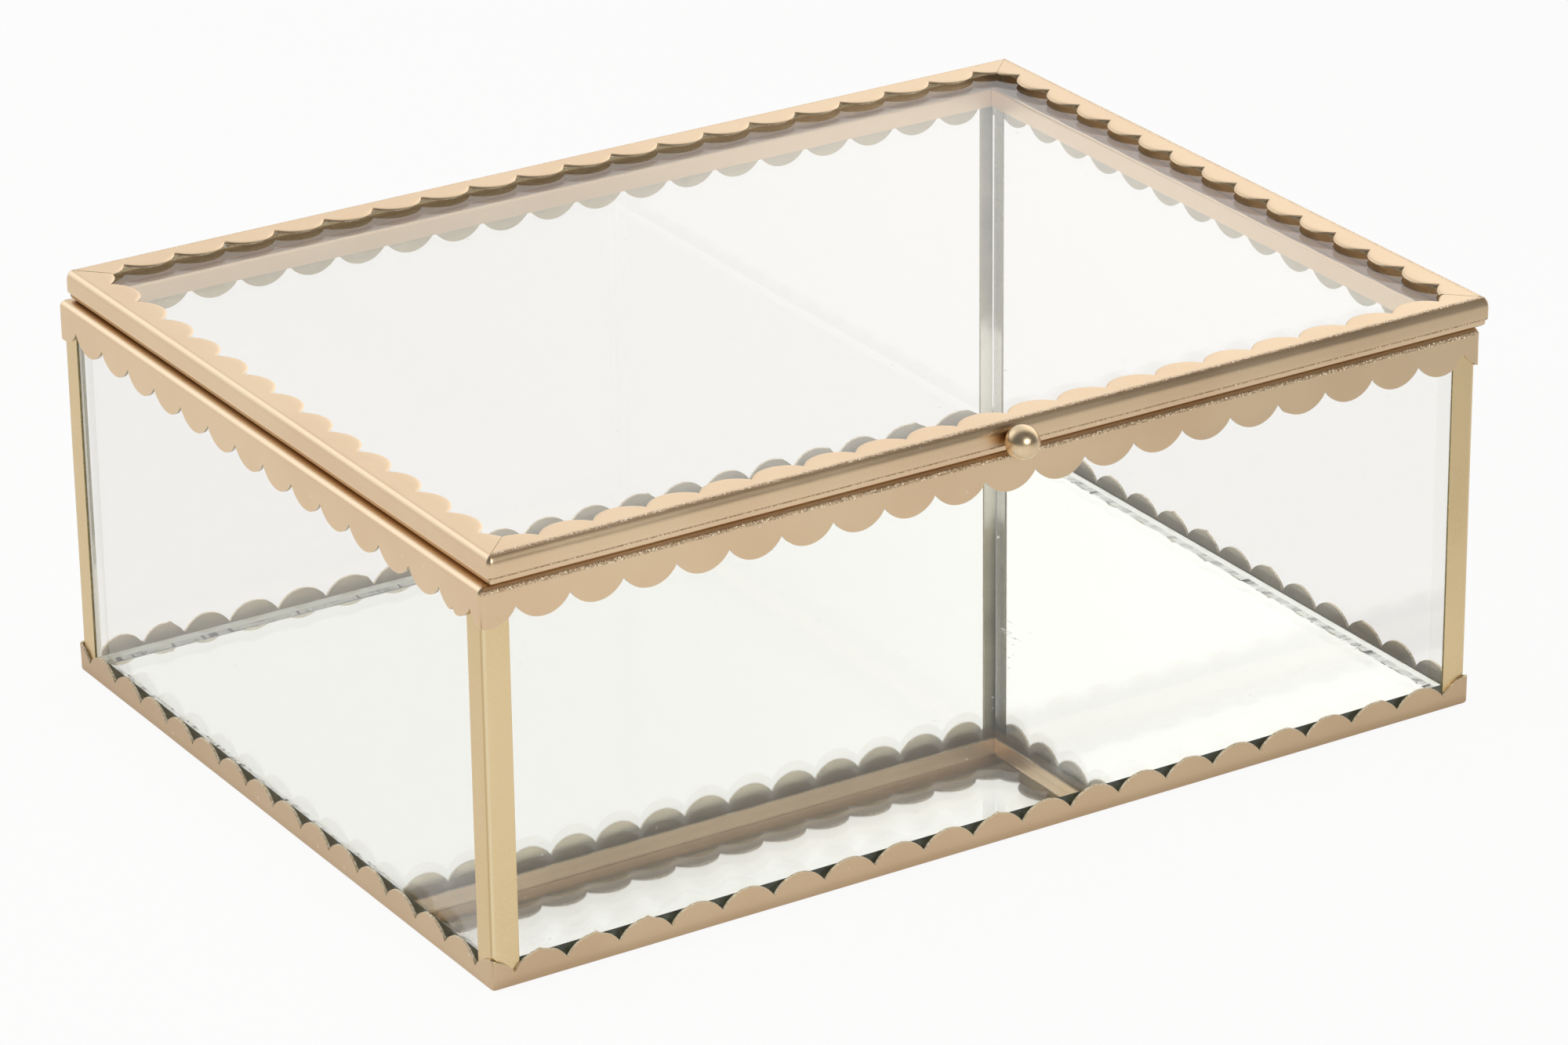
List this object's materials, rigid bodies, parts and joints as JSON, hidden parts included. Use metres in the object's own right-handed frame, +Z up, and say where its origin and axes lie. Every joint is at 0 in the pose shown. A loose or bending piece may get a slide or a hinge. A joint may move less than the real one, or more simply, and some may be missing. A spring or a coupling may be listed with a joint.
{
  "type": "glass casket box",
  "caption": "Rectangular clear glass casket box with a mirror base, folded gold-coloured metal rims with scalloped edges, and a hinged glass lid lifted by a small ball knob.",
  "frame": {"origin": "on the standing plane, in the middle of the body's footprint", "axes": "+X to the right along the long front, -Y out of the front with the knob, +Z up"},
  "size_m": [0.2012, 0.1573, 0.078],
  "materials": {
    "rim_brass": "satin champagne gold",
    "post_brass": "satin, slightly yellower",
    "knob_brass": "polished satin",
    "hinge_brass": "satin",
    "steel_pin": "bright drawn wire",
    "clear_glass": "clear float glass, ground edges",
    "mirror": "silvered on the underside"
  },
  "bodies": {
    "box": {"bottom_rim": "rim_brass", "mirror_base": "mirror", "front_glass": "clear_glass", "back_glass": "clear_glass", "left_glass": "clear_glass", "right_glass": "clear_glass", "post_front_left": "post_brass", "post_front_right": "post_brass", "post_back_right": "post_brass", "post_back_left": "post_brass", "top_rim": "rim_brass", "hinge_left_body_leaf": "hinge_brass", "hinge_left_pin": "steel_pin", "hinge_right_body_leaf": "hinge_brass", "hinge_right_pin": "steel_pin"},
    "lid": {"lid_rim": "rim_brass", "lid_glass": "clear_glass", "knob_ball": "knob_brass", "knob_stud": "hinge_brass", "hinge_left_lid_leaf": "hinge_brass", "hinge_right_lid_leaf": "hinge_brass"}
  },
  "joints": [
    {"name": "lid_hinge", "type": "hinge", "parent": "box", "child": "lid", "pos_m": [0.06, 0.0735, 0.07365], "axis": [-1, 0, 0], "range_deg": [0, 106]}
  ]
}
